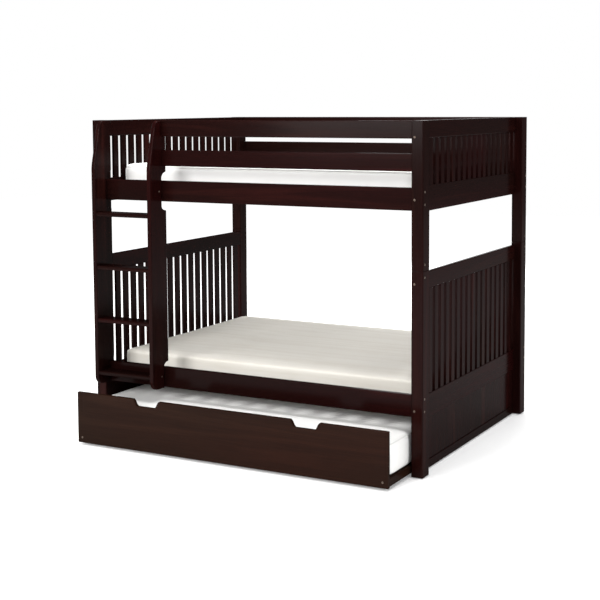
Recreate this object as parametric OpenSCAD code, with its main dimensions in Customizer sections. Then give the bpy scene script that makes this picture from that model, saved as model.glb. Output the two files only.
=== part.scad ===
// Full-over-full bunk bed with slatted ends, a fixed ladder and a trundle bed on casters.
// X runs along the bed, Y from the ladder side to the wall side, Z up from the floor.
// The origin is the middle of the whole footprint while the trundle stands part way out.

/* [Bed frame] */
// Length over the posts
bed_length = 2045; // [2030:5:2100]
// Depth over the posts
bed_depth = 1590; // [1550:5:1640]
// Height to the top of the posts
bed_height = 1810; // [1770:5:1900]
// Width of a post along the bed
post_x = 65; // [58:1:66]
// Depth of a post across the bed
post_y = 84; // [75:1:95]
// Height of the joint between a lower and an upper post
post_joint = 1058; // [1045:1:1070]

/* [Side rails] */
// Height of a side rail
rail_height = 115; // [90:1:120]
// Thickness of a side rail
rail_thick = 28; // [22:1:32]
// How far a side rail sits behind the post faces
rail_setback = 7; // [3:1:12]
// Underside of the lower side rails
lower_rail_z = 312; // [308:1:320]
// Underside of the upper side rails
upper_rail_z = 1360; // [1350:1:1380]

/* [Bed ends] */
// Thickness of the rails of an end
end_thick = 20; // [16:1:30]
// Height of the top rail of each end
cap_height = 91; // [80:1:100]
// Underside of the top rail of the lower ends
lower_cap_z = 949; // [900:1:954]
// Underside of the middle rail of the lower ends
mid_rail_z = 273; // [250:1:280]
// Height of the middle rail of the lower ends
mid_rail_height = 127; // [100:1:130]
// Top of the foot rail of the lower ends
foot_rail_top = 52; // [40:1:60]
// Underside of the bottom rail of the upper ends
upper_end_z = 1348; // [1335:1:1350]
// Height of the bottom rail of the upper ends
upper_low_height = 131; // [110:1:135]
// Upright slats in each end
end_slats = 18; // [10:1:18]
// Width of an upright slat
end_slat_width = 43; // [40:1:52]
// Thickness of an upright slat
end_slat_thick = 15; // [8:1:16]

/* [Guard rails] */
// Height of a guard board
guard_height = 90; // [70:1:95]
// Thickness of a guard board
guard_thick = 25; // [20:1:28]
// Underside of the lower guard boards
guard_low_z = 1556; // [1540:1:1570]

/* [Ladder] */
// Width over the two side boards
ladder_width = 403; // [360:1:450]
// Thickness of a side board
ladder_board = 25; // [20:1:28]
// How far the ladder stands out in front of the posts
ladder_out = 104; // [90:1:120]
// How far the side boards reach back past the post faces
ladder_in = 50; // [45:1:60]
// Number of treads
treads = 4; // [3:1:4]
// Top of the lowest tread
tread_first = 387; // [360:1:400]
// Rise from tread to tread
tread_rise = 302; // [280:1:302]
// Thickness of a tread
tread_thick = 22; // [18:1:25]

/* [Mattresses] */
// Length of every mattress
mattress_length = 1905; // [1880:5:1905]
// Width of the two bunk mattresses
mattress_width = 1372; // [1360:1:1385]
// Distance from the post faces to the bunk mattresses
mattress_gap = 144; // [60:1:150]
// Thickness of the lower bunk mattress
lower_mattress_thick = 120; // [100:5:200]
// Thickness of the upper bunk mattress
upper_mattress_thick = 160; // [100:5:200]
// Width of the trundle mattress
trundle_mattress_width = 990; // [950:5:990]
// Thickness of the trundle mattress
trundle_mattress_thick = 178; // [100:1:178]

/* [Trundle] */
// How far the trundle stands out of its closed place
trundle_out = 275; // [0:5:800]
// Length of the trundle front
trundle_length = 1908; // [1880:1:1910]
// Top of the trundle front
trundle_top = 299; // [260:1:300]
// Gap under the trundle front
trundle_clear = 13; // [8:1:20]
// Thickness of the trundle front
trundle_front_thick = 22; // [18:1:25]
// Depth of the slatted deck behind the trundle front
trundle_deck = 1050; // [1040:1:1270]
// Gap between the trundle front and its mattress
trundle_mattress_gap = 8; // [4:1:20]
// Distance of each hand scoop from the middle
scoop_offset = 490; // [400:5:600]
// Width of a hand scoop at its mouth
scoop_mouth = 175; // [140:5:200]
// Width of a hand scoop at its floor
scoop_floor = 110; // [80:5:120]
// Depth of a hand scoop
scoop_depth = 39; // [30:1:45]

/* [Casters] */
// Radius of a caster wheel
wheel_radius = 18; // [15:0.5:18]
// Width of a caster wheel
wheel_width = 16; // [12:1:18]
// Radius of a caster axle
axle_radius = 3; // [2.5:0.5:4]

/* [Hidden] */

espresso = [0.17, 0.09, 0.08];
steel = [0.62, 0.60, 0.58];
ticking = [0.93, 0.92, 0.89];
nylon = [0.13, 0.13, 0.14];

half_l = bed_length / 2;
half_d = bed_depth / 2;
inner_x = half_l - post_x;
inner_y = half_d - post_y;
front_y = -(bed_depth + rail_setback - trundle_out) / 2;
mid_y = front_y + half_d;

glide_height = 4;
glide_radius = 18;
foot_rail_lift = 2;
mid_rail_top = mid_rail_z + mid_rail_height;
upper_rail_top = upper_end_z + upper_low_height;
pin_radius = 8;
pin_reach = 60;
slip = 0.05;

bolt_head_radius = 6;
bolt_head_height = 1.6;
bolt_radius = 3;
bolt_slip = 0.1;
bolt_y = -half_d + rail_setback + rail_thick / 2;
rail_bolt_length = post_x + 35;
joint_bolt_length = 20;
cap_bolt_length = 12;
board_bolt_length = 14;
cap_bolt_x = inner_x + 18;
rail_bolt_zs = [
    for (low = [lower_rail_z, upper_rail_z], step = [32, 96]) low + step
];
joint_bolt_zs = [post_joint - 32, post_joint + 33];
cap_bolt_zs = [lower_rail_z + 33, lower_cap_z + 43, upper_rail_z + 55, bed_height - 82];

cleat_size = 20;
cleat_lift = 3;
deck_slat_thick = 16;
deck_slat_width = 70;
deck_slat_count = 14;
deck_half = inner_x - 15;
beam_width = 30;
beam_height = 28;
lower_deck_z = lower_rail_z + cleat_lift + cleat_size;
upper_deck_z = upper_rail_z + cleat_lift + cleat_size;

ladder_x = -inner_x + 2;
guard_start = ladder_x + ladder_width;
guard_top_z = bed_height - guard_height;
ladder_bottom = 308;
ladder_top = bed_height - 3;
ladder_inside = ladder_width - 2 * ladder_board;
notch_round = ladder_in - rail_setback;
arc_steps = 9;

board_y = front_y + rail_setback - trundle_out;
deck_front = board_y + trundle_front_thick;
trundle_half = trundle_length / 2 - 5;
side_rail_z = 17;
side_rail_top = 57;
side_rail_thick = 20;
bearer_top = 41;
bearer_front = deck_front + side_rail_thick;
bearer_back = deck_front + trundle_deck - 2 * side_rail_thick;
trundle_slat_count = 13;
trundle_slat_width = 90;

caster_x = trundle_half - 65;
caster_front = bearer_front + side_rail_thick + 40;
caster_back = bearer_back - 40;
plate_thick = 3;
leg_gap = wheel_width / 2 + 1.5;
leg_half = 11;

// A box between two opposite corners
module span(low, high) {
    translate(low) cube(high - low);
}

// The front right corner's shapes, turned to any of the four corners
module corner(side, row) {
    translate([0, mid_y, 0])
        mirror([side < 0 ? 1 : 0, 0, 0])
            mirror([0, row > 0 ? 1 : 0, 0])
                children();
}

// The right end's shapes, turned to either end
module bed_end(side) {
    translate([0, mid_y, 0]) mirror([side < 0 ? 1 : 0, 0, 0]) children();
}

// Puts a bolt's axis into the outer side face of a post
module in_side(z) {
    translate([half_l, bolt_y, z]) rotate([0, 90, 0]) children();
}

// Puts a bolt's axis into the front face of a post
module in_face(z) {
    translate([cap_bolt_x, -half_d, z]) rotate([90, 0, 0]) children();
}

// A socket-head bolt with its head on top of z = 0
module bolt(length) {
    difference() {
        union() {
            cylinder(r = bolt_head_radius, h = bolt_head_height, $fn = 32);
            translate([0, 0, -length]) cylinder(r = bolt_radius, h = length, $fn = 24);
        }
        translate([0, 0, bolt_head_height - 1]) cylinder(r = 2.9, h = 2, $fn = 6);
    }
}

// The hole that a bolt goes in
module bolt_hole(length) {
    translate([0, 0, -length - bolt_slip])
        cylinder(r = bolt_radius + bolt_slip, h = length + 1, $fn = 24);
}

// Every bolt of one corner, or its holes
module corner_bolts(holes) {
    for (z = rail_bolt_zs) in_side(z) bolt_or_hole(holes, rail_bolt_length);
    for (z = joint_bolt_zs) in_side(z) bolt_or_hole(holes, joint_bolt_length);
    for (z = cap_bolt_zs) in_face(z) bolt_or_hole(holes, cap_bolt_length);
}

module bolt_or_hole(holes, length) {
    if (holes) bolt_hole(length);
    else bolt(length);
}

// A steel pin on a post's axis, across the joint, or its hole
module joint_pin(gap) {
    translate([half_l - post_x / 2, -half_d + post_y / 2, post_joint - pin_reach - gap])
        cylinder(r = pin_radius + gap, h = 2 * (pin_reach + gap), $fn = 32);
}

module post(low, high) {
    difference() {
        span([inner_x, -half_d, low], [half_l, -inner_y, high]);
        joint_pin(slip);
        corner_bolts(true);
    }
}

module post_lower(side, row) {
    color(espresso) corner(side, row) post(glide_height, post_joint);
}

module post_upper(side, row) {
    color(espresso) corner(side, row) post(post_joint, bed_height);
}

module post_pins() {
    color(steel) for (side = [-1, 1], row = [-1, 1]) corner(side, row) joint_pin(0);
}

module floor_glides() {
    color(nylon)
        for (side = [-1, 1], row = [-1, 1])
            corner(side, row)
                translate([half_l - post_x / 2, -half_d + post_y / 2, 0])
                    cylinder(r = glide_radius, h = glide_height, $fn = 40);
}

// A rail of an end, between the posts and flush with their inner faces
module end_rail(side, low, high) {
    color(espresso)
        bed_end(side)
            span([inner_x, -inner_y, low], [inner_x + end_thick, inner_y, high]);
}

// The recessed board between the foot rail and the middle rail
module end_panel(side) {
    panel_thick = 10;
    inset = (end_thick - panel_thick) / 2;
    color(espresso)
        bed_end(side)
            span([inner_x + inset, -inner_y, foot_rail_top],
                 [inner_x + inset + panel_thick, inner_y, mid_rail_z]);
}

// Upright slats with equal gaps from post to post
module end_slat_row(side, low, high) {
    inset = (end_thick - end_slat_thick) / 2;
    gap = (2 * inner_y - end_slats * end_slat_width) / (end_slats + 1);
    color(espresso)
        bed_end(side)
            for (i = [0 : end_slats - 1])
                translate([inner_x + inset, -inner_y + gap + i * (gap + end_slat_width), low])
                    cube([end_slat_thick, end_slat_width, high - low]);
}

module foot_rail(side) {
    end_rail(side, glide_height + foot_rail_lift, foot_rail_top);
}

module mid_rail(side) {
    end_rail(side, mid_rail_z, mid_rail_top);
}

module lower_slats(side) {
    end_slat_row(side, mid_rail_top, lower_cap_z);
}

module lower_cap(side) {
    end_rail(side, lower_cap_z, lower_cap_z + cap_height);
}

module upper_rail(side) {
    end_rail(side, upper_end_z, upper_rail_top);
}

module upper_slats(side) {
    end_slat_row(side, upper_rail_top, bed_height - cap_height);
}

module upper_cap(side) {
    end_rail(side, bed_height - cap_height, bed_height);
}

module side_rail(row, low) {
    color(espresso)
        difference() {
            corner(1, row)
                span([-inner_x, -half_d + rail_setback, low],
                     [inner_x, -half_d + rail_setback + rail_thick, low + rail_height]);
            for (side = [-1, 1], z = rail_bolt_zs)
                corner(side, row) in_side(z) bolt_hole(rail_bolt_length);
        }
}

// Cleats screwed along the inner faces of the side rails
module deck_cleats() {
    inner = half_d - rail_setback - rail_thick;
    color(espresso)
        for (row = [-1, 1], low = [lower_rail_z, upper_rail_z])
            corner(1, row)
                span([-inner_x + 5, -inner, low + cleat_lift],
                     [inner_x - 5, -inner + cleat_size, low + cleat_lift + cleat_size]);
}

// A beam under the middle of each row of slats, from end to end
module deck_beams() {
    color(espresso)
        for (top = [lower_deck_z, upper_deck_z])
            translate([0, mid_y, 0])
                span([-inner_x, -beam_width / 2, top - beam_height],
                     [inner_x, beam_width / 2, top]);
}

module deck_slats(low) {
    reach = half_d - rail_setback - rail_thick - 2;
    pitch = (2 * deck_half - deck_slat_width) / (deck_slat_count - 1);
    color(espresso)
        for (i = [0 : deck_slat_count - 1])
            translate([-deck_half + i * pitch, mid_y - reach, low])
                cube([deck_slat_width, 2 * reach, deck_slat_thick]);
}

// A guard board on one side, from start to the post at the right
module guard_board(row, start, low) {
    color(espresso)
        corner(1, row)
            span([start, -half_d + rail_setback, low],
                 [inner_x, -half_d + rail_setback + guard_thick, low + guard_height]);
}

// Points on part of an ellipse
function arc(centre, radii, from, to) = [
    for (i = [0 : arc_steps])
        let (a = from + (to - from) * i / arc_steps)
            [centre[0] + radii[0] * cos(a), centre[1] + radii[1] * sin(a)]
];

// Points on a curve from a to c that leans towards b
function bend(a, b, c) = [
    for (i = [0 : arc_steps])
        let (t = i / arc_steps)
            (1 - t) * (1 - t) * a + 2 * t * (1 - t) * b + t * t * c
];

// Outline of a ladder side board: open at the foot for the lower side rail, notched for the upper
// one, and swept back at the top
function ladder_outline() =
    let (
        front = -ladder_out,
        foot = 50,
        low_curve = 26,
        high_curve = 37,
        play = 10,
        upper_low = upper_rail_z - low_curve,
        upper_high = upper_rail_z + rail_height + play,
        crown = 8,
        sweep = ladder_top - 57
    )
    concat(
        arc([front + foot, ladder_bottom + foot], [foot, foot], 180, 270),
        [[rail_setback, ladder_bottom]],
        arc([ladder_in, lower_rail_z + rail_height], [notch_round, low_curve], 180, 90),
        arc([ladder_in, upper_low], [notch_round, low_curve], 270, 180),
        arc([ladder_in, upper_high], [notch_round, high_curve], 180, 90),
        arc([ladder_in - crown, ladder_top - crown], [crown, crown], 0, 90),
        bend([-20, ladder_top], [-46, ladder_top], [-57, sweep]),
        bend([front + 5, sweep - 177], [front, sweep - 200], [front, sweep - 223])
    );

// Puts a bolt's axis into the right board's outer face, level with each side rail
module in_ladder() {
    for (z = [lower_rail_z + 63, upper_rail_z + 57])
        translate([ladder_x + ladder_width, front_y - 18, z]) rotate([0, 90, 0]) children();
}

module ladder_side(start) {
    color(espresso)
        difference() {
            translate([start, front_y, 0])
                rotate([90, 0, 90])
                    linear_extrude(ladder_board) polygon(ladder_outline());
            in_ladder() bolt_hole(board_bolt_length);
        }
}

module ladder_treads() {
    lip = 5;
    color(espresso)
        for (i = [0 : treads - 1])
            translate([ladder_x + ladder_board, front_y - ladder_out + lip,
                       tread_first + i * tread_rise - tread_thick])
                cube([ladder_inside, ladder_out + rail_setback - lip - 2, tread_thick]);
}

module ladder_bolts() {
    color(steel) in_ladder() bolt(board_bolt_length);
}

module frame_bolts() {
    color(steel) for (side = [-1, 1], row = [-1, 1]) corner(side, row) corner_bolts(false);
}

module mattress(start, width, low, thick) {
    color(ticking)
        translate([-mattress_length / 2, start, low]) cube([mattress_length, width, thick]);
}

module bunk_mattress(deck_z, thick) {
    mattress(front_y + mattress_gap, mattress_width, deck_z + deck_slat_thick, thick);
}

module low_mattress() {
    mattress(deck_front + trundle_mattress_gap, trundle_mattress_width, side_rail_top,
             trundle_mattress_thick);
}

// Half of a hand scoop's edge, from its mouth down to its floor
function scoop_side(centre, side) = [
    for (i = [0 : arc_steps])
        let (t = i / arc_steps, slope = (scoop_mouth - scoop_floor) / 2)
            [centre + side * (scoop_mouth / 2 - slope * t),
             trundle_top - scoop_depth * (1 - cos(180 * t)) / 2]
];

function scoop(centre) =
    let (left = scoop_side(centre, -1))
    concat(scoop_side(centre, 1), [for (i = [arc_steps : -1 : 0]) left[i]]);

// Puts a screw's axis into the trundle front near each lower corner
module in_trundle_front() {
    inset = 30;
    for (side = [-1, 1])
        translate([side * (trundle_length / 2 - inset), board_y, trundle_clear + inset])
            rotate([90, 0, 0])
                children();
}

module trundle_front() {
    half = trundle_length / 2;
    outline = concat(
        [[-half, trundle_clear], [half, trundle_clear], [half, trundle_top]],
        scoop(scoop_offset),
        scoop(-scoop_offset),
        [[-half, trundle_top]]
    );
    color(espresso)
        difference() {
            translate([0, deck_front, 0])
                rotate([90, 0, 0])
                    linear_extrude(trundle_front_thick) polygon(outline);
            in_trundle_front() bolt_hole(board_bolt_length);
        }
}

module trundle_side(side) {
    color(espresso)
        mirror([side < 0 ? 1 : 0, 0, 0])
            span([trundle_half - side_rail_thick, deck_front, side_rail_z],
                 [trundle_half, deck_front + trundle_deck, side_rail_top]);
}

// A bar across the trundle, between its side rails
module cross_bar(start, top) {
    reach = trundle_half - side_rail_thick;
    color(espresso)
        span([-reach, start, side_rail_z], [reach, start + side_rail_thick, top]);
}

// Full-height rails behind the front board and at the back
module trundle_cross_rails() {
    for (start = [deck_front, deck_front + trundle_deck - side_rail_thick])
        cross_bar(start, side_rail_top);
}

// Lower bars that the slats lie on, between the side rails
module trundle_bearers() {
    for (start = [bearer_front, (bearer_front + bearer_back) / 2, bearer_back])
        cross_bar(start, bearer_top);
}

// Slats under the mattress, level with the side rails
module trundle_slats() {
    play = 2;
    reach = trundle_half - side_rail_thick - play;
    pitch = (2 * reach - trundle_slat_width) / (trundle_slat_count - 1);
    slat_end = bearer_back + side_rail_thick;
    color(espresso)
        for (i = [0 : trundle_slat_count - 1])
            translate([-reach + i * pitch, bearer_front, bearer_top])
                cube([trundle_slat_width, slat_end - bearer_front, side_rail_top - bearer_top]);
}

module trundle_screws() {
    color(steel) in_trundle_front() bolt(board_bolt_length);
}

// Places a shape at each of the four casters
module at_casters() {
    for (side = [-1, 1], y = [caster_front, caster_back])
        translate([side * caster_x, y, wheel_radius]) children();
}

module caster_brackets() {
    top = bearer_top - wheel_radius;
    color(steel)
        at_casters()
            difference() {
                union() {
                    span([-20, -28, top - plate_thick], [20, 28, top]);
                    for (side = [-1, 1])
                        mirror([side < 0 ? 1 : 0, 0, 0])
                            span([leg_gap, -leg_half, -6], [leg_gap + plate_thick, leg_half, top]);
                }
                rotate([0, 90, 0])
                    cylinder(r = axle_radius + slip, h = 60, center = true, $fn = 32);
            }
}

module caster_axles() {
    reach = leg_gap + plate_thick + 2;
    color(steel)
        at_casters()
            rotate([0, 90, 0])
                cylinder(r = axle_radius, h = 2 * reach, center = true, $fn = 32);
}

// A solid wheel with a dished face on each side
module wheel(side, y) {
    rim = 3;
    hub = 7;
    dish = 3;
    color(nylon)
        translate([side * caster_x, y, wheel_radius])
            rotate([0, 90, 0])
                difference() {
                    cylinder(r = wheel_radius, h = wheel_width, center = true, $fn = 64);
                    cylinder(r = axle_radius + slip, h = 2 * wheel_width, center = true, $fn = 32);
                    for (face = [-1, 1])
                        translate([0, 0, face * wheel_width / 2])
                            difference() {
                                cylinder(r = wheel_radius - rim, h = 2 * dish, center = true, $fn = 64);
                                cylinder(r = hub, h = 3 * dish, center = true, $fn = 40);
                            }
                }
}

post_lower(-1, -1);  // post_lower_fl
post_lower(1, -1);  // post_lower_fr
post_lower(-1, 1);  // post_lower_bl
post_lower(1, 1);  // post_lower_br
post_upper(-1, -1);  // post_upper_fl
post_upper(1, -1);  // post_upper_fr
post_upper(-1, 1);  // post_upper_bl
post_upper(1, 1);  // post_upper_br
post_pins();
floor_glides();
foot_rail(-1);  // left_foot_rail
end_panel(-1);  // left_panel
mid_rail(-1);  // left_mid_rail
lower_slats(-1);  // left_lower_slats
lower_cap(-1);  // left_lower_cap
upper_rail(-1);  // left_upper_rail
upper_slats(-1);  // left_upper_slats
upper_cap(-1);  // left_upper_cap
foot_rail(1);  // right_foot_rail
end_panel(1);  // right_panel
mid_rail(1);  // right_mid_rail
lower_slats(1);  // right_lower_slats
lower_cap(1);  // right_lower_cap
upper_rail(1);  // right_upper_rail
upper_slats(1);  // right_upper_slats
upper_cap(1);  // right_upper_cap
side_rail(-1, lower_rail_z);  // rail_lower_front
side_rail(1, lower_rail_z);  // rail_lower_back
side_rail(-1, upper_rail_z);  // rail_upper_front
side_rail(1, upper_rail_z);  // rail_upper_back
deck_cleats();
deck_beams();
deck_slats(lower_deck_z);  // deck_slats_lower
deck_slats(upper_deck_z);  // deck_slats_upper
guard_board(-1, guard_start, guard_top_z);  // guard_front_top
guard_board(-1, guard_start, guard_low_z);  // guard_front_low
guard_board(1, -inner_x, guard_top_z);  // guard_back_top
guard_board(1, -inner_x, guard_low_z);  // guard_back_low
ladder_side(ladder_x);  // ladder_left
ladder_side(ladder_x + ladder_width - ladder_board);  // ladder_right
ladder_treads();
frame_bolts();
ladder_bolts();
bunk_mattress(lower_deck_z, lower_mattress_thick);  // mattress_lower
bunk_mattress(upper_deck_z, upper_mattress_thick);  // mattress_upper
trundle_front();
trundle_side(-1);  // trundle_side_left
trundle_side(1);  // trundle_side_right
trundle_cross_rails();
trundle_bearers();
trundle_slats();
trundle_screws();
low_mattress();  // trundle_mattress
caster_brackets();
caster_axles();
wheel(-1, caster_front);  // wheel_fl
wheel(1, caster_front);  // wheel_fr
wheel(-1, caster_back);  // wheel_bl
wheel(1, caster_back);  // wheel_br
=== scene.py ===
import math

import bmesh
import bpy
from mathutils import Matrix, Vector, noise
from mathutils.bvhtree import BVHTree


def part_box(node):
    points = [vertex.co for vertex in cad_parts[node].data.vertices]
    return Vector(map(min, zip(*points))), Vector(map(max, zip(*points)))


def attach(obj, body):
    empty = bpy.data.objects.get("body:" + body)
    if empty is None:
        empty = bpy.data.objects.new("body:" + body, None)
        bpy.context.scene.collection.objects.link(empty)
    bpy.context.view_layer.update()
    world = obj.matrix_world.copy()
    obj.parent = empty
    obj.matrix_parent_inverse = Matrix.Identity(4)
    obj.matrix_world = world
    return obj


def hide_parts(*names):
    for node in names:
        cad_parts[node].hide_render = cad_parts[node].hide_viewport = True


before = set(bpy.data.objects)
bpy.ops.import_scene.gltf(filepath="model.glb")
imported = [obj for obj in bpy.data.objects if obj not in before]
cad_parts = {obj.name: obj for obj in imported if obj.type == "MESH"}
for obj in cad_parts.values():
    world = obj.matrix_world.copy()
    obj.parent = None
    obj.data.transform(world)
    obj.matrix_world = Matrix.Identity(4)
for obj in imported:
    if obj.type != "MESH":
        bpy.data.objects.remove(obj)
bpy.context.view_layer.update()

scene = bpy.context.scene
bed, trundle = "bed_frame", "trundle"
ends = ("left", "right")


def say(stage):
    print("scene:", stage)


# ---- camera, lights and floor

cameraLook = {
    "lens": 75.93,
    "place": (3.4851, -6.4460, 1.8955),
    "turn": 28.64,  # degrees to the left of straight ahead
    "tilt": 4.79,  # degrees down
    "roll": -0.34,
    "shiftY": -0.15,
}


def addCamera(look):
    data = bpy.data.cameras.new("camera")
    data.lens = look["lens"]
    data.shift_y = look["shiftY"]
    data.clip_end = 100
    rig = bpy.data.objects.new("camera", data)
    turn, tilt, roll = (math.radians(look[key]) for key in ("turn", "tilt", "roll"))
    facing = (
        Matrix.Rotation(turn, 3, "Z")
        @ Matrix.Rotation(math.pi / 2 - tilt, 3, "X")
        @ Matrix.Rotation(roll, 3, "Z")
    )
    rig.location = look["place"]
    rig.rotation_euler = facing.to_euler()
    scene.collection.objects.link(rig)
    scene.camera = rig


lightLook = {
    "backdrop": 1.0,  # what the camera sees past the floor
    "fill": 0.42,  # the room's own light on the bed
    "floor": (0.90, 0.90, 0.90, 1),
    "glowNear": (0.20, 0.20, 0.20, 1),  # the floor's own glow beside the bed and far off
    "glowFar": (0.68, 0.68, 0.68, 1),
    "areas": [
        # name, place, aim, size, watts
        ("frontLight", (-1.6, -6.6, 3.0), (0, -0.3, 0.8), 3.0, 355),
        ("rightLight", (6.6, -2.6, 2.6), (0.6, -0.2, 0.6), 2.6, 105),
        ("leftLight", (-6.2, -0.8, 3.4), (-0.6, 0, 1.2), 2.2, 150),
        ("topLight", (0.3, 0.0, 5.8), (0, 0, 0), 4.0, 420),
        ("backLight", (-1.5, 7.0, 3.0), (0, 0.5, 0.9), 3.0, 260),
    ],
}


def addWorld(look):
    world = bpy.data.worlds.new("studio")
    world.use_nodes = True
    tree = world.node_tree
    fill = tree.nodes["Background"]
    fill.inputs["Color"].default_value = (1, 1, 1, 1)
    fill.inputs["Strength"].default_value = look["fill"]
    backdrop = tree.nodes.new("ShaderNodeBackground")
    backdrop.inputs["Strength"].default_value = look["backdrop"]
    backdrop.inputs["Color"].default_value = (1, 1, 1, 1)
    seen = tree.nodes.new("ShaderNodeLightPath")
    both = tree.nodes.new("ShaderNodeMixShader")
    tree.links.new(seen.outputs["Is Camera Ray"], both.inputs[0])
    tree.links.new(fill.outputs[0], both.inputs[1])
    tree.links.new(backdrop.outputs[0], both.inputs[2])
    tree.links.new(both.outputs[0], tree.nodes["World Output"].inputs["Surface"])
    scene.world = world


def addLights(look):
    for name, place, aim, size, watts in look["areas"]:
        data = bpy.data.lights.new(name, "AREA")
        data.size = size
        data.energy = watts
        lamp = bpy.data.objects.new(name, data)
        lamp.location = place
        lamp.rotation_euler = (Vector(aim) - Vector(place)).to_track_quat("-Z", "Y").to_euler()
        scene.collection.objects.link(lamp)
    scene.view_settings.view_transform = "Standard"


# ---- shader helpers


class Signal:
    # a number that varies over a surface, usable in sums
    def __init__(self, tree, socket):
        self.tree, self.socket = tree, socket

    def math(self, operation, first, second=None):
        node = self.tree.nodes.new("ShaderNodeMath")
        node.operation = operation
        for slot, value in zip(node.inputs, (first, second)):
            if isinstance(value, Signal):
                self.tree.links.new(value.socket, slot)
            elif value is not None:
                slot.default_value = value
        return Signal(self.tree, node.outputs[0])

    def __add__(self, other):
        return self.math("ADD", self, other)

    def __sub__(self, other):
        return self.math("SUBTRACT", self, other)

    def __mul__(self, other):
        return self.math("MULTIPLY", self, other)

    def sine(self):
        return self.math("SINE", self)

    __radd__, __rmul__ = __add__, __mul__


class Paint:
    # one material and its nodes
    def __init__(self, name):
        self.material = bpy.data.materials.new(name)
        self.material.use_nodes = True
        self.tree = self.material.node_tree
        self.shader = self.tree.nodes["Principled BSDF"]
        self.place = self.add("ShaderNodeTexCoord").outputs["Object"]

    def add(self, kind, settings=None, sockets=None):
        node = self.tree.nodes.new(kind)
        for key, value in (settings or {}).items():
            setattr(node, key, value)
        for key, value in (sockets or {}).items():
            self.fill(node.inputs[key], value)
        return node

    def fill(self, slot, value):
        if isinstance(value, Signal):
            value = value.socket
        if isinstance(value, bpy.types.NodeSocket):
            self.tree.links.new(value, slot)
        else:
            slot.default_value = value

    def signal(self, socket):
        return Signal(self.tree, socket)

    def scaled(self, scale):
        sockets = {"Vector": self.place, "Scale": scale}
        return self.add("ShaderNodeMapping", None, sockets).outputs[0]

    def noise(self, vector, scale, detail=2.0, rough=0.5, warp=0.0):
        sockets = {"Vector": vector, "Scale": scale, "Detail": detail}
        sockets.update({"Roughness": rough, "Distortion": warp})
        return self.signal(self.add("ShaderNodeTexNoise", None, sockets).outputs["Fac"])

    def axes(self, vector):
        parts = self.add("ShaderNodeSeparateXYZ", None, {0: vector}).outputs
        return [self.signal(part) for part in parts]

    def mix(self, factor, first, second):
        sockets = {0: factor, 6: first, 7: second}
        node = self.add("ShaderNodeMix", {"data_type": "RGBA"}, sockets)
        return node.outputs[2]

    def steps(self, factor, low, high):
        # 0 below low, 1 above high
        sockets = {"Value": factor, "From Min": low, "From Max": high}
        return self.signal(self.add("ShaderNodeMapRange", None, sockets).outputs[0])

    def bump(self, height, strength, distance):
        sockets = {"Strength": strength, "Distance": distance, "Height": height}
        return self.add("ShaderNodeBump", None, sockets).outputs[0]

    def finish(self, **sockets):
        for key, value in sockets.items():
            self.fill(self.shader.inputs[key.replace("_", " ")], value)
        return self.material


woodLook = {
    "frameWood": {
        "deep": (0.0040, 0.0012, 0.0012, 1),
        "warm": (0.0340, 0.0052, 0.0046, 1),
        "brown": (0.0190, 0.0076, 0.0054, 1),
        "rough": 0.28,
        "gloss": 0.0,
        "coat": 0.08,
    },
    "trundleWood": {
        "deep": (0.0088, 0.0038, 0.0026, 1),
        "warm": (0.0400, 0.0125, 0.0072, 1),
        "brown": (0.0290, 0.0150, 0.0090, 1),
        "rough": 0.34,
        "gloss": 0.0,
        "coat": 0.07,
    },
    "deckWood": {
        "deep": (0.0110, 0.0045, 0.0035, 1),
        "warm": (0.0300, 0.0120, 0.0085, 1),
        "brown": (0.0260, 0.0130, 0.0090, 1),
        "rough": 0.55,
        "gloss": 0.05,
        "coat": 0.03,
    },
}


def woodMaterial(name, grain):
    # stained close-grained wood under a satin lacquer; grain is the axis that the fibres follow
    look = woodLook[name]
    paint = Paint(name + "XYZ"[grain])

    def along(slow, fast):
        scale = [fast] * 3
        scale[grain] = slow
        return tuple(scale)

    rings = paint.noise(paint.scaled(along(0.55, 9.0)), 1.0, 3.0, 0.55, 0.9)
    fibres = paint.noise(paint.scaled(along(5.0, 260.0)), 1.0, 3.0, 0.6)
    patches = paint.noise(paint.scaled(along(0.5, 2.2)), 1.0, 1.5)
    pores = paint.noise(paint.scaled(along(26.0, 900.0)), 1.0, 1.0)
    bands = paint.steps((rings * 9.0).sine() * 0.5 + rings * 0.9, 0.05, 1.05)
    poreMask = paint.steps(pores, 0.60, 0.74)
    red = paint.mix(paint.steps(patches, 0.35, 0.68), look["brown"], look["warm"])
    base = paint.mix(bands * 0.55 + fibres * 0.45, look["deep"], red)
    darker = paint.mix(poreMask * 0.55, base, look["deep"])
    relief = fibres * 0.6 + bands * 0.25 - poreMask * 0.5
    return paint.finish(
        Base_Color=darker,
        Roughness=fibres * 0.10 + look["rough"] - 0.05 + poreMask * 0.08,
        Specular_IOR_Level=look["gloss"],
        Coat_Weight=look["coat"],
        Coat_Roughness=0.16,
        Normal=paint.bump(relief, 0.22, 0.0006),
    )


clothLook = {
    # the last number sets how deep the lengthwise creases are and how much painted shade darkens
    # them
    "sheet": {
        "top": (0.84, 0.815, 0.755, 1),
        "darkToneAndShade": (0.70, 0.655, 0.575, 1),
        "thread": 1500,
        "creaseAndShade": 0.28,
    },
    "ticking": {
        "top": (0.92, 0.914, 0.897, 1),
        "darkToneAndShade": (0.82, 0.812, 0.792, 1),
        "thread": 950,
        "creaseAndShade": 0.06,
    },
    "tape": {
        "top": (0.78, 0.775, 0.755, 1),
        "darkToneAndShade": (0.68, 0.675, 0.655, 1),
        "thread": 1300,
        "creaseAndShade": 0.0,
    },
}


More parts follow.
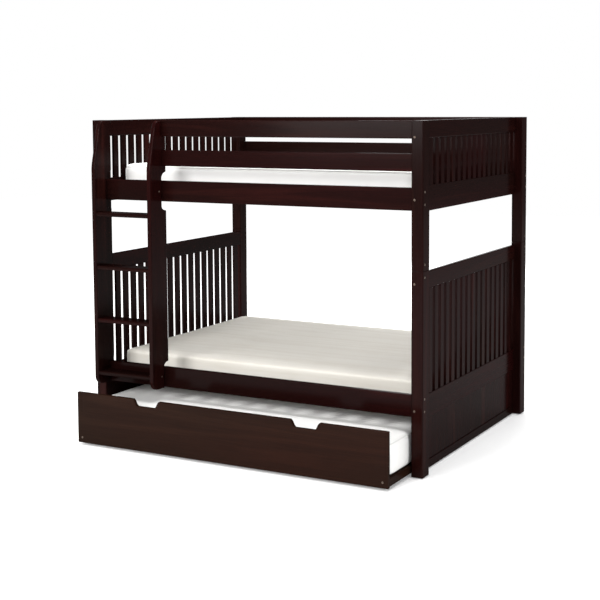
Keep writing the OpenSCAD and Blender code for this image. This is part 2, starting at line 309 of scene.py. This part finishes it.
def clothMaterial(name):
    look = clothLook[name]
    paint = Paint(name)
    x, y, z = paint.axes(paint.place)
    thread = look["thread"]
    weave = (x * thread).sine() + (y * thread).sine() + (z * thread).sine()
    mottle = paint.noise(paint.place, 5.0, 3.0)
    slub = paint.noise(paint.scaled((30.0, 420.0, 420.0)), 1.0, 2.0)
    creaseAndShade = paint.noise(paint.scaled((1.1, 24.0, 24.0)), 1.0, 3.0)
    # painted shade: the colour darkens along the creases, on top of the random mottle and slub
    # tone that the darker colour also gives
    shade = paint.steps(creaseAndShade, 0.44, 0.64) * look["creaseAndShade"]
    colour = paint.mix(mottle * 0.4 + slub * 0.25 + shade, look["top"], look["darkToneAndShade"])
    relief = weave * 0.25 + slub + creaseAndShade * look["creaseAndShade"] * 14
    return paint.finish(
        Base_Color=colour,
        Roughness=slub * 0.1 + 0.82,
        Specular_IOR_Level=0.25,
        Sheen_Weight=0.08,
        Sheen_Roughness=0.5,
        Normal=paint.bump(relief, 0.30, 0.0004),
    )


steelLook = {
    "zincSteel": {
        "dark": (0.50, 0.48, 0.46, 1),
        "light": (0.66, 0.64, 0.61, 1),
        "rough": 0.28,
    },
    "bronzedSteel": {
        "dark": (0.075, 0.055, 0.045, 1),
        "light": (0.17, 0.13, 0.105, 1),
        "rough": 0.34,
    },
}


def steelMaterial(name):
    look = steelLook[name]
    paint = Paint(name)
    scratch = paint.noise(paint.scaled((90.0, 900.0, 400.0)), 1.0, 3.0, 0.6)
    cloud = paint.noise(paint.place, 40.0, 2.0)
    colour = paint.mix(cloud, look["dark"], look["light"])
    return paint.finish(
        Base_Color=colour,
        Metallic=1.0,
        Roughness=scratch * 0.22 + look["rough"],
        Normal=paint.bump(scratch, 0.15, 0.0002),
    )


def nylonMaterial():
    paint = Paint("blackNylon")
    grainy = paint.noise(paint.place, 700.0, 2.0)
    scuff = paint.steps(paint.noise(paint.place, 60.0, 4.0, 0.65), 0.52, 0.70)
    colour = paint.mix(scuff * 0.5, (0.016, 0.016, 0.018, 1), (0.055, 0.053, 0.052, 1))
    return paint.finish(
        Base_Color=colour,
        Roughness=scuff * 0.2 + 0.45,
        Specular_IOR_Level=0.4,
        Normal=paint.bump(grainy, 0.2, 0.0002),
    )


def floorMaterial():
    paint = Paint("studioFloor")
    length = paint.add("ShaderNodeVectorMath", {"operation": "LENGTH"}, {0: paint.place})
    away = paint.signal(length.outputs["Value"])
    glow = paint.mix(paint.steps(away, 1.6, 6.0), lightLook["glowNear"], lightLook["glowFar"])
    return paint.finish(
        Base_Color=lightLook["floor"],
        Roughness=0.9,
        Specular_IOR_Level=0.1,
        Emission_Color=glow,
        Emission_Strength=1.0,
    )


# ---- mesh helpers

roundly = {"affect": "EDGES", "profile": 0.5, "clamp_overlap": True}


def addObject(name, mesh):
    piece = bpy.data.objects.new(name, mesh)
    scene.collection.objects.link(piece)
    return piece


def meshOf(name, shape):
    mesh = bpy.data.meshes.new(name)
    bmesh.ops.recalc_face_normals(shape, faces=shape.faces)
    for face in shape.faces:
        face.smooth = True
    shape.to_mesh(mesh)
    shape.free()
    return mesh


def solids(node):
    # the lowest and highest corners of each separate solid in a CAD node, in order
    shape = bmesh.new()
    shape.from_mesh(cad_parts[node].data)
    bmesh.ops.remove_doubles(shape, verts=shape.verts, dist=1e-6)
    left, found = set(shape.verts), []
    while left:
        stack, corners = [left.pop()], []
        while stack:
            vert = stack.pop()
            corners.append(vert.co.copy())
            for edge in vert.link_edges:
                other = edge.other_vert(vert)
                if other in left:
                    left.remove(other)
                    stack.append(other)
        low = Vector(min(c[k] for c in corners) for k in range(3))
        high = Vector(max(c[k] for c in corners) for k in range(3))
        found.append((low, high))
    shape.free()
    return sorted(found, key=lambda pair: tuple(round(v, 4) for v in pair[0]))


edges = {
    "post": 0.006,
    "postEnd": 0.0025,
    "rail": 0.0035,
    "guard": 0.005,
    "ladder": 0.005,
    "tread": 0.006,
    "panel": 0.0008,
    "slat": 0.0007,  # small, so that the end slats still close the view at a slant
    "slatEnd": 0.0008,
    "deck": 0.002,
    "batten": 0.0015,
    "trundleFront": 0.003,
    "end": 0.001,
    "bracket": 0.0008,
    "axle": 0.0006,
    "glide": 0.001,
}


def addBar(shape, low, high, grain, longEdge, endEdge, steps=3):
    # a board between two corners, its long edges eased more than its ends
    size = high - low
    place = Matrix.Translation((low + high) / 2) @ Matrix.Diagonal((*size, 1))
    made = bmesh.ops.create_cube(shape, size=1, matrix=place)["verts"]
    cubeEdges = {edge for vert in made for edge in vert.link_edges}

    def runs(edge):
        way = (edge.verts[0].co - edge.verts[1].co).normalized()
        return abs(way[grain]) > 0.99

    long = [edge for edge in cubeEdges if runs(edge)]
    done = bmesh.ops.bevel(shape, geom=long, offset=longEdge, segments=steps, **roundly)
    faces = {face for vert in done["verts"] for face in vert.link_faces}
    rims = [face for face in faces if abs(face.normal[grain]) > 0.99]
    rimEdges = list({edge for face in rims for edge in face.edges})
    bmesh.ops.bevel(shape, geom=rimEdges, offset=endEdge, segments=2, **roundly)


def crisp(piece):
    # keeps the flat faces flat beside their rounded edges
    fix = piece.modifiers.new("flatFaces", "WEIGHTED_NORMAL")
    fix.weight = 100
    fix.keep_sharp = True


def finishPiece(piece, body, slot, material, nodes):
    piece.data.materials.clear()
    piece.data.materials.append(material)
    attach(piece, body)
    if nodes:
        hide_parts(*nodes)
    return piece


def bars(name, node, body, slot, material, grain, longEdge, endEdge=edges["end"]):
    shape = bmesh.new()
    for low, high in solids(node):
        addBar(shape, low, high, grain, longEdge, endEdge)
    piece = addObject(name, meshOf(name, shape))
    crisp(piece)
    return finishPiece(piece, body, slot, material, [node])


# ---- repeated pieces


def nodeTree(name, inputs):
    tree = bpy.data.node_groups.new(name, "GeometryNodeTree")
    tree.interface.new_socket("Geometry", in_out="OUTPUT", socket_type="NodeSocketGeometry")
    for label, kind in inputs.items():
        tree.interface.new_socket(label, in_out="INPUT", socket_type="NodeSocket" + kind)
    return tree


def treeNode(tree, kind, settings=None, sockets=None):
    node = tree.nodes.new(kind)
    for key, value in (settings or {}).items():
        setattr(node, key, value)
    for key, value in (sockets or {}).items():
        if isinstance(value, bpy.types.NodeSocket):
            tree.links.new(value, node.inputs[key])
        else:
            node.inputs[key].default_value = value
    return node


def endTree(tree, instances, material):
    real = treeNode(tree, "GeometryNodeRealizeInstances", None, {"Geometry": instances})
    sockets = {"Geometry": real.outputs[0], "Material": material}
    painted = treeNode(tree, "GeometryNodeSetMaterial", None, sockets)
    treeNode(tree, "NodeGroupOutput", None, {"Geometry": painted.outputs[0]})


def rowTree():
    # copies of one board, a fixed step apart
    inputs = {"board": "Object", "count": "Int", "start": "Vector", "step": "Vector"}
    inputs["material"] = "Material"
    tree = nodeTree("boardRow", inputs)
    given = treeNode(tree, "NodeGroupInput").outputs
    sockets = {"Count": given["count"], "Start Location": given["start"]}
    sockets["Offset"] = given["step"]
    line = treeNode(tree, "GeometryNodeMeshLine", {"mode": "OFFSET"}, sockets)
    proto = treeNode(tree, "GeometryNodeObjectInfo", None, {"Object": given["board"]})
    sockets = {"Points": line.outputs[0], "Instance": proto.outputs["Geometry"]}
    placed = treeNode(tree, "GeometryNodeInstanceOnPoints", None, sockets)
    endTree(tree, placed.outputs[0], given["material"])
    return tree


def studTree():
    # copies of one fastener on points, each turned along its point's own direction
    inputs = {"points": "Geometry", "fastener": "Object", "material": "Material"}
    tree = nodeTree("fasteners", inputs)
    given = treeNode(tree, "NodeGroupInput").outputs
    settings = {"data_type": "FLOAT_VECTOR"}
    outward = treeNode(tree, "GeometryNodeInputNamedAttribute", settings, {"Name": "outward"})
    sockets = {"Vector": outward.outputs["Attribute"]}
    turn = treeNode(tree, "FunctionNodeAlignRotationToVector", {"axis": "Z"}, sockets)
    proto = treeNode(tree, "GeometryNodeObjectInfo", None, {"Object": given["fastener"]})
    sockets = {"Points": given["points"], "Instance": proto.outputs["Geometry"]}
    sockets["Rotation"] = turn.outputs[0]
    placed = treeNode(tree, "GeometryNodeInstanceOnPoints", None, sockets)
    endTree(tree, placed.outputs[0], given["material"])
    return tree


def grow(name, tree, values, start=None):
    # runs a tree and returns its result as a plain mesh object
    piece = addObject(name, start or bpy.data.meshes.new(name))
    modifier = piece.modifiers.new("grow", "NODES")
    modifier.node_group = tree
    for item in tree.interface.items_tree:
        if item.in_out == "INPUT" and item.name in values:
            modifier[item.identifier] = values[item.name]
    ready = piece.evaluated_get(bpy.context.evaluated_depsgraph_get())
    mesh = bpy.data.meshes.new_from_object(ready)
    piece.modifiers.clear()
    piece.data = mesh
    return piece


def prototype(name, mesh):
    piece = addObject(name, mesh)
    piece.hide_render = True
    return piece


def drop(piece):
    bpy.data.objects.remove(piece, do_unlink=True)


def slatRow(name, node, body, slot, material, grain, edge):
    row = solids(node)
    low, high = row[0]
    shape = bmesh.new()
    addBar(shape, Vector((0, 0, 0)), high - low, grain, edge, edges["slatEnd"], 2)
    proto = prototype(name + "Board", meshOf(name + "Board", shape))
    step = (row[-1][0] - low) / (len(row) - 1)
    values = {"board": proto, "count": len(row), "start": low, "step": step}
    values["material"] = material
    piece = grow(name, boardRow, values)
    drop(proto)
    crisp(piece)
    return finishPiece(piece, body, slot, material, [node])


# ---- the bed frame

boltLook = {"radius": 0.0060, "dome": 0.0017, "socket": 0.0027, "depth": 0.0012, "sides": 28}


def boltMesh(look):
    # a flat domed head with a six-sided socket
    shape = bmesh.new()
    sides, radius, dome = look["sides"], look["radius"], look["dome"]
    profile = [(radius, -0.0004), (radius, dome * 0.35), (radius * 0.93, dome * 0.75)]
    profile += [(radius * 0.78, dome * 0.97), (radius * 0.6, dome)]
    rings = []
    for r, z in profile:
        angles = [2 * math.pi * k / sides for k in range(sides)]
        ring = [shape.verts.new((r * math.cos(a), r * math.sin(a), z)) for a in angles]
        rings.append(ring)
    for r, z in ((look["socket"], dome), (look["socket"] * 0.96, dome - look["depth"])):
        ring = []
        for k in range(sides):
            a = 2 * math.pi * k / sides
            flat = math.cos(math.pi / 6) / math.cos((a % (math.pi / 3)) - math.pi / 6)
            ring.append(shape.verts.new((r * flat * math.cos(a), r * flat * math.sin(a), z)))
        rings.append(ring)
    for inner, outer in zip(rings, rings[1:]):
        for k in range(sides):
            after = (k + 1) % sides
            shape.faces.new((inner[k], inner[after], outer[after], outer[k]))
    shape.faces.new(rings[-1])
    shape.faces.new(reversed(rings[0]))
    return meshOf("boltHead", shape)


def fasteners(name, node, body, outward=None):
    # a head on the outer end of each CAD bolt, whose axis is the side that isn't the head's width
    mesh = bpy.data.meshes.new(name)
    middle = (frameMiddle[0] + frameMiddle[1]) / 2
    places, ways = [], []
    for low, high in solids(node):
        size, centre = high - low, (low + high) / 2
        axis = max(range(3), key=lambda k: abs(size[k] - 2 * boltLook["radius"]))
        way = Vector((0, 0, 0))
        way[axis] = 1 if centre[axis] > middle[axis] else -1
        way = outward or way
        tip = centre + way * (size[axis] / 2 - boltLook["dome"])
        places.append(tip)
        ways.append(way)
    mesh.from_pydata(places, [], [])
    store = mesh.attributes.new("outward", "FLOAT_VECTOR", "POINT")
    store.data.foreach_set("vector", [value for way in ways for value in way])
    head = prototype(name + "Head", boltMesh(boltLook))
    piece = grow(name, studs, {"fastener": head, "material": bronze}, mesh)
    drop(head)
    return finishPiece(piece, body, "bronzed_steel", bronze, [node])


frameMiddle = [Vector(corner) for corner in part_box("mattress_lower")]


def cadShape(node):
    # a CAD node's mesh with its flat faces whole
    shape = bmesh.new()
    shape.from_mesh(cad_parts[node].data)
    bmesh.ops.remove_doubles(shape, verts=shape.verts, dist=1e-6)
    limit = math.radians(1)
    bmesh.ops.dissolve_limit(shape, angle_limit=limit, verts=shape.verts, edges=shape.edges)
    return shape


def easeSharp(shape, width, steps):
    sharp = [edge for edge in shape.edges if edge.calc_face_angle(0) > math.radians(40)]
    bmesh.ops.bevel(shape, geom=sharp, offset=width, segments=steps, **roundly)


def easedCopy(name, node, body, slot, material, width):
    # the CAD outline with its sharp edges eased
    shape = cadShape(node)
    easeSharp(shape, width, 2)
    piece = addObject(name, meshOf(name, shape))
    crisp(piece)
    return finishPiece(piece, body, slot, material, [node])


def cutBoard(name, node, facing, body, slot, material, width):
    # a board sawn to the outline of the CAD board's own flat face, its edges eased
    source = cadShape(node)
    flat = [face for face in source.faces if face.normal.dot(facing) > 0.99]
    outline = [vert.co.copy() for vert in max(flat, key=lambda face: face.calc_area()).verts]
    source.free()
    low, high = (Vector(corner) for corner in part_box(node))
    shape = bmesh.new()
    face = shape.faces.new([shape.verts.new(point) for point in outline])
    grown = bmesh.ops.extrude_face_region(shape, geom=[face])["geom"]
    back = facing * -abs((high - low).dot(facing))
    for vert in grown:
        if isinstance(vert, bmesh.types.BMVert):
            vert.co += back
    bmesh.ops.recalc_face_normals(shape, faces=shape.faces)
    easeSharp(shape, width, 3)
    piece = addObject(name, meshOf(name, shape))
    crisp(piece)
    return finishPiece(piece, body, slot, material, [node])


def buildFrame():
    for level in ("lower", "upper"):
        for corner in ("fl", "fr", "bl", "br"):
            node = f"post_{level}_{corner}"
            args = (bed, "espresso_wood", frameWood[2], 2, edges["post"])
            bars(f"post{level.title()}{corner.upper()}", node, *args, edges["postEnd"])
    for end in ends:
        for part in ("foot_rail", "mid_rail", "lower_cap", "upper_rail", "upper_cap"):
            title = end + part.title().replace("_", "")
            edge = edges["guard"] if "cap" in part else edges["rail"]
            bars(title, f"{end}_{part}", bed, "espresso_wood", frameWood[1], 1, edge)
        args = (bed, "espresso_wood", frameWood[2], 2, edges["panel"])
        bars(end + "Panel", f"{end}_panel", *args)
        for part in ("lower", "upper"):
            args = (bed, "espresso_wood", frameWood[2], 2, edges["slat"])
            slatRow(f"{end}{part.title()}Slats", f"{end}_{part}_slats", *args)
    for part in ("lower_front", "lower_back", "upper_front", "upper_back"):
        title = "rail" + part.title().replace("_", "")
        bars(title, "rail_" + part, bed, "espresso_wood", frameWood[0], 0, edges["rail"])
    for part in ("front_top", "front_low", "back_top", "back_low"):
        title = "guard" + part.title().replace("_", "")
        bars(title, "guard_" + part, bed, "espresso_wood", frameWood[0], 0, edges["guard"])
    for side in ends:
        args = (Vector((-1, 0, 0)), bed, "espresso_wood", frameWood[2], edges["ladder"])
        cutBoard("ladder" + side.title(), "ladder_" + side, *args)
    bars("ladderTreads", "ladder_treads", bed, "espresso_wood", frameWood[0], 0, edges["tread"])
    bars("deckCleats", "deck_cleats", bed, "deck_wood", deckWood[0], 0, edges["batten"])
    bars("deckBeams", "deck_beams", bed, "deck_wood", deckWood[0], 0, edges["deck"])
    for level in ("lower", "upper"):
        args = (bed, "deck_wood", deckWood[1], 1, edges["deck"])
        slatRow("deckSlats" + level.title(), "deck_slats_" + level, *args)
    fasteners("frameBolts", "frame_bolts", bed)
    fasteners("ladderBolts", "ladder_bolts", bed, Vector((1, 0, 0)))
    say("bed frame")


# ---- the trundle


def buildTrundle():
    args = (Vector((0, 1, 0)), trundle, "trundle_wood", trundleWood[0], edges["trundleFront"])
    cutBoard("trundleFront", "trundle_front", *args)
    for side in ends:
        args = (trundle, "trundle_wood", trundleWood[1], 1, edges["deck"])
        bars("trundleSide" + side.title(), "trundle_side_" + side, *args)
    for part in ("cross_rails", "bearers"):
        title = "trundle" + part.title().replace("_", "")
        args = (trundle, "deck_wood", deckWood[0], 0, edges["batten"])
        bars(title, "trundle_" + part, *args)
    args = (trundle, "deck_wood", deckWood[1], 1, edges["deck"])
    slatRow("trundleSlats", "trundle_slats", *args)
    fasteners("trundleScrews", "trundle_screws", trundle, Vector((0, -1, 0)))
    say("trundle")


wheelLook = {"round": 0.0035, "dish": 0.003, "rim": 0.003, "hub": 0.007, "bore": 0.00305}


def wheelMesh(name, low, high, look):
    # a solid wheel turned from one profile: rounded tread, dished faces, hub and bore
    centre = (low + high) / 2
    radius, half = (high.z - low.z) / 2, (high.x - low.x) / 2
    curve = look["round"]
    side = [(look["bore"], half), (look["hub"] - 0.0006, half), (look["hub"], half - 0.0006)]
    side += [(look["hub"] + 0.0004, half - look["dish"])]
    side += [(radius - look["rim"] - 0.0004, half - look["dish"])]
    side += [(radius - look["rim"], half - 0.0006)]
    for k in range(5):
        angle = math.pi / 2 * (1 - k / 4)
        reach = radius - curve * 0.7 + curve * 0.7 * math.cos(angle)
        side.append((reach, half - curve + curve * math.sin(angle)))
    profile = side + [(r, -x) for r, x in reversed(side)]
    shape = bmesh.new()
    turns = 48
    rings = []
    for k in range(turns):
        a = 2 * math.pi * k / turns
        way = Vector((0, math.cos(a), math.sin(a)))
        rings.append([shape.verts.new(centre + way * r + Vector((x, 0, 0))) for r, x in profile])
    for k, ring in enumerate(rings):
        after = rings[(k + 1) % turns]
        for j in range(len(profile)):
            nextJ = (j + 1) % len(profile)
            shape.faces.new((ring[j], ring[nextJ], after[nextJ], after[j]))
    return meshOf(name, shape)


def buildCasters():
    for corner in ("fl", "fr", "bl", "br"):
        low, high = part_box("wheel_" + corner)
        name = "wheel" + corner.upper()
        piece = addObject(name, wheelMesh(name, Vector(low), Vector(high), wheelLook))
        sharp = piece.modifiers.new("flatFaces", "WEIGHTED_NORMAL")
        sharp.weight = 100
        args = ("caster_" + corner, "black_nylon", nylon, ["wheel_" + corner])
        finishPiece(piece, *args)
    args = (trundle, "zinc_steel", steel)
    easedCopy("casterBrackets", "caster_brackets", *args, edges["bracket"])
    easedCopy("casterAxles", "caster_axles", *args, edges["axle"])
    easedCopy("floorGlides", "floor_glides", bed, "black_nylon", nylon, edges["glide"])
    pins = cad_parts["post_pins"]
    pins.data.materials.clear()
    pins.data.materials.append(steel)
    say("casters and glides")


# ---- the mattresses

mattressLook = {
    "mattressLower": {
        "node": "mattress_lower",
        "body": bed,
        "slot": "ivory_sheet",
        "voxel": 0.017,
        "round": 0.014,
        "corner": 0.045,
        "inset": 0.005,
        "cap": 0.007,
        "wrinkle": 0.0050,
        "seam": 0,
        "fill": 0.8,
    },
    "mattressUpper": {
        "node": "mattress_upper",
        "body": bed,
        "slot": "white_ticking",
        "voxel": 0.018,
        "round": 0.026,
        "corner": 0.070,
        "inset": 0.005,
        "cap": 0.007,
        "wrinkle": 0.0006,
        "seam": 0.0035,
        "fill": 0.85,
    },
    "mattressTrundle": {
        "node": "trundle_mattress",
        "body": trundle,
        "slot": "white_ticking",
        "voxel": 0.017,
        "round": 0.026,
        "corner": 0.050,
        "inset": 0.005,
        "cap": 0.007,
        "wrinkle": 0.0010,
        "seam": 0.0035,
        "fill": 0.8,
    },
}


def blockMesh(name, low, high, corner, edge):
    # a block with rounded upright corners and softer top and bottom edges
    shape = bmesh.new()
    size = high - low
    place = Matrix.Translation((low + high) / 2) @ Matrix.Diagonal((*size, 1))
    bmesh.ops.create_cube(shape, size=1, matrix=place)
    upright = [e for e in shape.edges if abs(e.verts[0].co.z - e.verts[1].co.z) > size.z / 2]
    bmesh.ops.bevel(shape, geom=upright, offset=corner, segments=6, **roundly)
    flat = [f for f in shape.faces if abs(f.normal.z) > 0.99]
    rims = list({e for f in flat for e in f.edges})
    bmesh.ops.bevel(shape, geom=rims, offset=edge, segments=4, **roundly)
    return meshOf(name, shape)


def remeshed(piece, voxel):
    remesh = piece.modifiers.new("remesh", "REMESH")
    remesh.mode = "VOXEL"
    remesh.voxel_size = voxel
    remesh.use_smooth_shade = True
    ready = piece.evaluated_get(bpy.context.evaluated_depsgraph_get())
    mesh = bpy.data.meshes.new_from_object(ready)
    piece.modifiers.clear()
    piece.data = mesh


coverLook = {"quality": 4, "mass": 0.3, "pressure": 4, "frames": 20}


def swell(piece, cap, floor):
    # inflates the cover a little, then holds it within cap of where it began
    begin = [vert.co.copy() for vert in piece.data.vertices]
    cloth = piece.modifiers.new("swell", "CLOTH")
    cloth.settings.quality = coverLook["quality"]
    cloth.settings.mass = coverLook["mass"]
    cloth.settings.use_pressure = True
    cloth.settings.uniform_pressure_force = coverLook["pressure"]
    cloth.settings.effector_weights.gravity = 0
    cloth.collision_settings.use_collision = False
    cloth.collision_settings.use_self_collision = False
    for step in range(1, coverLook["frames"] + 1):
        scene.frame_set(step)
    ready = piece.evaluated_get(bpy.context.evaluated_depsgraph_get())
    ended = [vert.co.copy() for vert in ready.data.vertices]
    piece.modifiers.clear()
    scene.frame_set(1)
    for vert, old, new in zip(piece.data.vertices, begin, ended):
        move = new - old
        if move.length > 1e-9:
            move *= cap * math.tanh(move.length / cap) / move.length
        vert.co = old + move
        vert.co.z = max(vert.co.z, floor)


def wrinkled(piece, low, high, height):
    # shallow lengthwise wrinkles on the top, stronger in patches, fading towards the edges
    mesh = piece.data
    top = high.z - 0.012
    normals = [vert.normal.copy() for vert in mesh.vertices]
    for vert, normal in zip(mesh.vertices, normals):
        x, y, z = vert.co
        edge = min(x - low.x, high.x - x, y - low.y, high.y - y)
        fade = min(1, max(0.15, edge / 0.10))
        drift = noise.noise(Vector((x * 1.1, y * 1.6, 3.7))) * 0.05
        line = noise.noise(Vector((x * 1.3, (y + 0.10 * x + drift) * 17, 9.1)))
        long = noise.noise(Vector((x * 0.9, (y + 0.07 * x) * 6, 1.3)))
        patch = 0.35 + max(0, noise.noise(Vector((x * 1.4, y * 1.9, 5.5)))) * 1.6
        lift = (1 - abs(line) * 2.6) * patch * 0.8 + long * 0.9
        if z < top:
            side = noise.noise(Vector((x * 5, y * 5, z * 9)))
            lift = side * 0.8
        vert.co = vert.co + normal * (lift * height * fade)


# below the top, above the bottom, between points along it, and faces round it
tapeLook = {"below": 0.004, "above": 0.006, "spacing": 0.03, "sides": 8}


def seams(name, piece, low, high, look, material):
    # tape edges round the top and bottom of a mattress, lying on its swollen cover
    lookup = BVHTree.FromObject(piece, bpy.context.evaluated_depsgraph_get())
    shape = bmesh.new()
    for z in (high.z - tapeLook["below"], low.z + tapeLook["above"]):
        path = []
        radius = look["corner"]
        for cx, cy, first in (
            (high.x - radius, high.y - radius, 0),
            (low.x + radius, high.y - radius, 90),
            (low.x + radius, low.y + radius, 180),
            (high.x - radius, low.y + radius, 270),
        ):
            for k in range(7):
                a = math.radians(first + 15 * k)
                path.append(Vector((cx + radius * math.cos(a), cy + radius * math.sin(a), z)))
        finer = []
        for here, after in zip(path, path[1:] + path[:1]):
            count = max(1, int((after - here).length / tapeLook["spacing"]))
            finer += [here.lerp(after, k / count) for k in range(count)]
        rest = [lookup.find_nearest(point)[0] for point in finer]
        addTube(shape, rest, look["seam"], tapeLook["sides"])
    tape = addObject(name, meshOf(name, shape))
    return finishPiece(tape, look["body"], look["slot"], material, [])


def addTube(shape, path, radius, sides):
    # a closed round cord through the points
    rings = []
    count = len(path)
    for k, point in enumerate(path):
        way = (path[(k + 1) % count] - path[k - 1]).normalized()
        side = way.cross(Vector((0, 0, 1))).normalized()
        up = side.cross(way)
        ring = []
        for j in range(sides):
            a = 2 * math.pi * j / sides
            spot = point + side * radius * math.cos(a) + up * radius * math.sin(a)
            ring.append(shape.verts.new(spot))
        rings.append(ring)
    for k, ring in enumerate(rings):
        after = rings[(k + 1) % count]
        for j in range(sides):
            nextJ = (j + 1) % sides
            shape.faces.new((ring[j], after[j], after[nextJ], ring[nextJ]))


def buildMattress(name, look):
    low, high = (Vector(corner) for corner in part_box(look["node"]))
    inset = Vector((look["inset"],) * 3)
    inside = (low + inset, high - inset)
    inside[0].z = low.z + 0.0005
    piece = addObject(name, blockMesh(name, *inside, look["corner"], look["round"]))
    remeshed(piece, look["voxel"])
    swell(piece, look["cap"], low.z + 0.0005)
    wrinkled(piece, low, high, look["wrinkle"])
    smooth = piece.modifiers.new("smooth", "SUBSURF")
    smooth.levels = smooth.render_levels = 1
    cover = sheet if look["slot"] == "ivory_sheet" else ticking
    finishPiece(piece, look["body"], look["slot"], cover, [look["node"]])
    if look["seam"]:
        seams(name + "Tape", piece, low, high, look, tape)
    say(name)


# ---- put it together

addCamera(cameraLook)
addWorld(lightLook)
addLights(lightLook)
floor = addObject("floor", bpy.data.meshes.new("floor"))
floorHalf = 14
square = [(floorHalf * x, floorHalf * y, 0) for x, y in ((-1, -1), (1, -1), (1, 1), (-1, 1))]
floor.data.from_pydata(square, [], [(0, 1, 2, 3)])
floor.data.materials.append(floorMaterial())

frameWood = [woodMaterial("frameWood", grain) for grain in range(3)]
trundleWood = [woodMaterial("trundleWood", grain) for grain in range(2)]
deckWood = [woodMaterial("deckWood", grain) for grain in range(2)]
sheet, ticking, tape = (clothMaterial(name) for name in ("sheet", "ticking", "tape"))
steel, bronze, nylon = steelMaterial("zincSteel"), steelMaterial("bronzedSteel"), nylonMaterial()
boardRow, studs = rowTree(), studTree()
say("materials")

buildFrame()
buildTrundle()
buildCasters()
for name, look in mattressLook.items():
    buildMattress(name, look)

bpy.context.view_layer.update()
